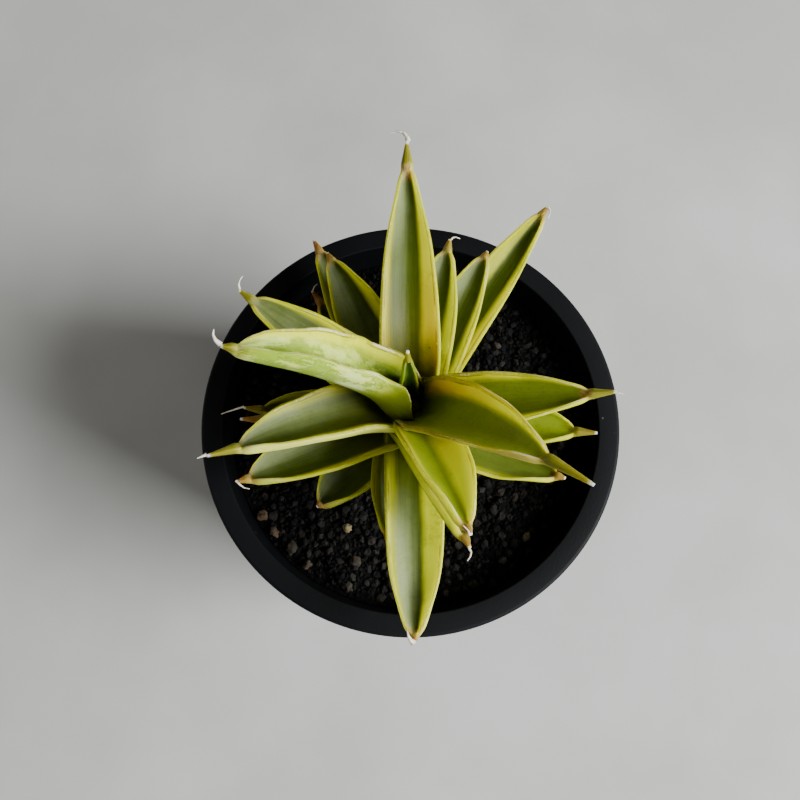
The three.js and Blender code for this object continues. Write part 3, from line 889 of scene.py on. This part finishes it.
def make_threads(tips):
    points = []
    edges = []
    radii = []
    for number, radius, path in THREADS:
        knots = np.array(path, dtype=float)
        stops = np.linspace(0, 1, len(knots))
        for i in range(THREAD_STEPS + 1):
            share = i / THREAD_STEPS
            offset = np.array([np.interp(share, stops, knots[:, axis]) for axis in range(3)])
            points.append(np.array(tips[number]) + offset * MM)
            radii.append(mix(radius, THREAD_END, share ** THREAD_THINNING) * MM)
            if i:
                edges.append((len(points) - 2, len(points) - 1))
    mesh = bpy.data.meshes.new("dried_threads")
    mesh.from_pydata([tuple(point) for point in points], edges, [])
    mesh.attributes.new("radius_at", "FLOAT", "POINT").data.foreach_set("value", radii)
    piece = new_object("dried_threads", mesh)
    material = thread_finish()
    tree, sides = thread_tree(material)
    step = piece.modifiers.new("tubes", "NODES")
    step.node_group = tree
    step[sides] = THREAD_SIDES
    settle(piece)
    put(piece, material, "leaf")


# Grit
def grit_tree(name, material):
    """Broken grains scattered on the upward faces of a surface, and pushed out of round."""
    tree = bpy.data.node_groups.new(name, "GeometryNodeTree")
    wanted = {}
    tree.interface.new_socket("Bed", in_out="INPUT", socket_type="NodeSocketGeometry")
    for label, kind in (("Spacing", "Float"), ("Smallest", "Float"), ("Largest", "Float"),
                        ("Seed", "Int"), ("Facets", "Int"), ("Reach", "Float")):
        wanted[label] = tree.interface.new_socket(
            label, in_out="INPUT", socket_type=f"NodeSocket{kind}").identifier
    tree.interface.new_socket("Grains", in_out="OUTPUT", socket_type="NodeSocketGeometry")
    net = Tree(tree)
    inlet = net.node("NodeGroupInput").socket.node
    given = {socket.name: Wire(net, socket) for socket in inlet.outputs}
    position = net.node("GeometryNodeInputPosition")
    normal = net.node("GeometryNodeInputNormal")
    upward = net.node("ShaderNodeSeparateXYZ", None, {"Vector": normal}, "Z")
    flat = net.node("ShaderNodeVectorMath", {"operation": "MULTIPLY"},
                    {"Vector": position, "Vector_001": (1.0, 1.0, 0.0)})
    radius = net.node("ShaderNodeVectorMath", {"operation": "LENGTH"}, {"Vector": flat}, "Value")
    on_top = net.maths("MULTIPLY", net.maths("GREATER_THAN", upward, GRAIN_LEAST_UPWARD),
                       net.maths("LESS_THAN", radius, given["Reach"]))
    points = net.node("GeometryNodeDistributePointsOnFaces", {"distribute_method": "POISSON"}, {
        "Mesh": given["Bed"], "Selection": on_top, "Distance Min": given["Spacing"],
        "Density Max": GRAIN_DENSITY, "Seed": given["Seed"]})
    stone = net.node("GeometryNodeMeshIcoSphere", None,
                     {"Radius": 1.0, "Subdivisions": given["Facets"]})
    size = net.node("FunctionNodeRandomValue", {"data_type": "FLOAT"}, {
        "Min_001": given["Smallest"], "Max_001": given["Largest"], "Seed": given["Seed"] + 1}, "Value")
    size = Wire(net, next(s for s in size.socket.node.outputs if s.identifier == "Value_001"))
    stretch = net.node("FunctionNodeRandomValue", {"data_type": "FLOAT_VECTOR"},
                       {"Min": GRAIN_STRETCH[0], "Max": GRAIN_STRETCH[1], "Seed": given["Seed"] + 2})
    scale = net.node("ShaderNodeVectorMath", {"operation": "SCALE"},
                     {"Vector": stretch, "Scale": size})
    spin = net.node("FunctionNodeRandomValue", {"data_type": "FLOAT_VECTOR"},
                    {"Min": GRAIN_TURN[0], "Max": GRAIN_TURN[1], "Seed": given["Seed"] + 3})
    grains = net.node("GeometryNodeInstanceOnPoints", None, {
        "Points": points, "Instance": stone, "Rotation": spin, "Scale": scale})
    tone = net.node("FunctionNodeRandomValue", {"data_type": "FLOAT"}, {"Seed": given["Seed"] + 4})
    tone = Wire(net, next(s for s in tone.socket.node.outputs if s.identifier == "Value_001"))
    toned = net.node("GeometryNodeStoreNamedAttribute", {"data_type": "FLOAT", "domain": "INSTANCE"},
                     {"Geometry": grains, "Name": "grain_tone", "Value": tone})
    real = net.node("GeometryNodeRealizeInstances", None, {"Geometry": toned})
    rough = net.node("ShaderNodeTexNoise", None,
                     {"Vector": position, "Scale": GRAIN_ROUGH_SCALE, "Detail": 1.0}, "Color")
    push = net.node("ShaderNodeVectorMath", {"operation": "SUBTRACT"},
                    {"Vector": rough, "Vector_001": (0.5, 0.5, 0.5)})
    push = net.node("ShaderNodeVectorMath", {"operation": "SCALE"},
                    {"Vector": push, "Scale": given["Largest"] * GRAIN_ROUGH_DEPTH})
    broken = net.node("GeometryNodeSetPosition", None, {"Geometry": real, "Offset": push})
    faceted = net.node("GeometryNodeSetShadeSmooth", None, {"Geometry": broken, "Shade Smooth": False})
    dressed = net.node("GeometryNodeSetMaterial", None, {"Geometry": faceted, "Material": material})
    net.plug(net.node_tree.nodes.new("NodeGroupOutput"), {"Grains": dressed})
    return tree, wanted


def grit_finish(name, dark, light):
    skin = Finish(name, {"Specular IOR Level": 0.12})
    tone = skin.attribute("grain_tone", "Fac")
    spot = skin.place()
    pore = skin.noise(spot, 1400.0, 3.0, 0.6)
    stone = skin.blend(tone.above(0.0, 0.9), dark, light)
    stone = skin.blend(tone.above(1.2, 1.6), stone, paint(50, 47, 42))
    stone = skin.blend(tone.above(2.2, 2.6), stone, paint(78, 66, 55))
    stone = skin.blend(tone.above(3.2, 3.6), stone, paint(108, 102, 78))
    warmth = skin.noise(spot, 240.0).above(0.45, 0.6)
    stone = skin.blend(warmth, stone, paint(255, 236, 216), "MULTIPLY")
    stone = skin.blend(pore.above(0.5, 0.75) * 0.5, stone, dark)
    skin.set({"Base Color": stone, "Roughness": 0.72 + pore * 0.2})
    skin.bump(pore, 0.00018)
    return skin.material


def bed_finish():
    skin = Finish("grit_bed", {"Specular IOR Level": 0.1})
    spot = skin.place()
    grain = skin.spots(spot, 850.0)
    pore = skin.noise(spot, 700.0, 4.0, 0.6)
    # Painted shade: the bed shows only in the gaps between the grains and is painted nearly black
    # there, over the dark soil
    colour = skin.blend(grain.above(0.2, 0.6) * pore, paint(5, 4, 4), paint(1, 1, 1))
    skin.set({"Base Color": colour, "Roughness": 0.85 + pore * 0.1})
    skin.bump(grain + pore * 0.6, 0.0004)
    return skin.material


def make_grit(name, dark, light, sizes):
    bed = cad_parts["soil"]
    piece = new_object(name, bed.data.copy())
    material = grit_finish(f"{name}_stone", dark, light)
    tree, wanted = grit_tree(name, material)
    step = piece.modifiers.new("grains", "NODES")
    step.node_group = tree
    for label, value in sizes.items():
        step[wanted[label]] = value
    settle(piece)
    put(piece, material, "soil")


def make_pebbles():
    """The few larger, paler stones, each in its place on the bed."""
    shape = bmesh.new()
    tones = []
    for number, (x, y, radius, tone) in enumerate(PEBBLES):
        start = len(shape.verts)
        bmesh.ops.create_icosphere(shape, subdivisions=PEBBLE_FACETS, radius=radius * MM)
        shape.verts.ensure_lookup_table()
        squat = Matrix.Diagonal((*PEBBLE_SQUAT, 1))
        turn = Matrix.Rotation(number * PEBBLE_TURN, 4, "Z") @ squat
        for vertex in shape.verts[start:]:
            spot = vertex.co / (radius * MM) * PEBBLE_LUMPS + Vector((number * SEED_STEP, 0, 0))
            vertex.co = turn @ (vertex.co * (1 + noise.noise(spot) * PEBBLE_LUMP_DEPTH))
            vertex.co += Vector((x, y, SOIL_LEVEL + PEBBLE_RISE)) * MM
        tones += [tone] * (len(shape.verts) - start)
    mesh = bpy.data.meshes.new("pebbles")
    shape.to_mesh(mesh)
    shape.free()
    mesh.attributes.new("grain_tone", "FLOAT", "POINT").data.foreach_set("value", tones)
    smooth_faces(mesh)
    material = grit_finish("pebble_stone", paint(20, 18, 16), paint(36, 34, 32))
    put(new_object("pebbles", mesh), material, "soil")


# Pot and stem finishes
def pot_finish():
    skin = Finish("matte_black_pot", {"IOR": 1.45, "Specular IOR Level": 0.18})
    spot = skin.place()
    haze = skin.noise(spot, 26.0, 4.0, 0.6)
    grain = skin.noise(spot, 1500.0, 2.0)
    dust = (1 - skin.spots(spot, 190.0).above(0.035, 0.07)) * haze.above(0.52, 0.62)
    body = skin.blend(haze.above(0.3, 0.7), paint(5, 6, 8), paint(8, 10, 13))
    colour = skin.blend(dust * 0.5, body, paint(150, 148, 144))
    skin.set({"Base Color": colour, "Roughness": 0.5 + haze * 0.16 + grain * 0.1})
    skin.bump(grain, 0.00004)
    return skin.material


def stem_finish():
    skin = Finish("fibrous_stem")
    x, y, z = skin.split(skin.place())
    fibre = skin.noise(skin.join(x * 900, y * 900, z * 120), 1.0, 3.0)
    colour = skin.blend(fibre.above(0.35, 0.65), paint(92, 90, 40), paint(146, 138, 74))
    skin.set({"Base Color": colour, "Roughness": 0.6 + fibre * 0.2})
    skin.bump(fibre, 0.0003)
    return skin.material


# Floor and lights
def make_floor():
    corners = [(x * FLOOR_REACH, y * FLOOR_REACH, 0) for x, y in ((-1, -1), (1, -1), (1, 1), (-1, 1))]
    mesh = bpy.data.meshes.new("floor")
    mesh.from_pydata(corners, [], [(0, 1, 2, 3)])
    floor = new_object("floor", mesh)
    skin = Finish("pale_floor")
    spot = skin.place()
    cloud = skin.noise(spot, 7.0, 4.0, 0.55)
    colour = skin.blend(cloud.above(0.35, 0.65), paint(172, 172, 168), paint(186, 186, 184))
    skin.set({"Base Color": colour, "Roughness": 0.75 + cloud * 0.1})
    mesh.materials.append(skin.material)


def make_light(name, at, towards, size, power, colour):
    data = bpy.data.lights.new(name, "AREA")
    data.size = size
    data.energy = power
    data.color = colour
    lamp = bpy.data.objects.new(name, data)
    bpy.context.scene.collection.objects.link(lamp)
    turn = (Vector(at) - Vector(towards)).to_track_quat("Z", "Y")
    lamp.matrix_world = Matrix.Translation(at) @ turn.to_matrix().to_4x4()


def make_world(colour, strength):
    world = bpy.data.worlds.new("studio")
    world.use_nodes = True
    background = world.node_tree.nodes["Background"]
    background.inputs["Color"].default_value = (*colour, 1)
    background.inputs["Strength"].default_value = strength
    bpy.context.scene.world = world


make_floor()
make_light("key_light", at=(1.3, -0.42, 1.0), towards=(0, 0, 0.08), size=0.9, power=78.0,
           colour=(0.98, 1.0, 1.0))
make_light("front_light", at=(0.3, -1.0, 0.6), towards=(0, 0, 0.05), size=0.6, power=3.0,
           colour=(0.98, 1.0, 1.0))
make_light("left_light", at=(-1.0, 0.2, 0.5), towards=(0, 0, 0.1), size=0.8, power=2.2,
           colour=(1.0, 0.98, 0.92))
make_world(colour=(1.0, 0.96, 0.88), strength=0.08)

put(make_pot(), pot_finish(), "pot", "pot")
leaf_tips = make_leaves()
make_threads(leaf_tips)

repaint(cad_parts["soil"], bed_finish())
repaint(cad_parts["stem"], stem_finish())
make_grit("fine_grit", paint(1, 1, 1), paint(12, 11, 10), FINE_GRIT)
make_grit("coarse_grit", paint(5, 5, 5), paint(36, 34, 32), COARSE_GRIT)
make_pebbles()
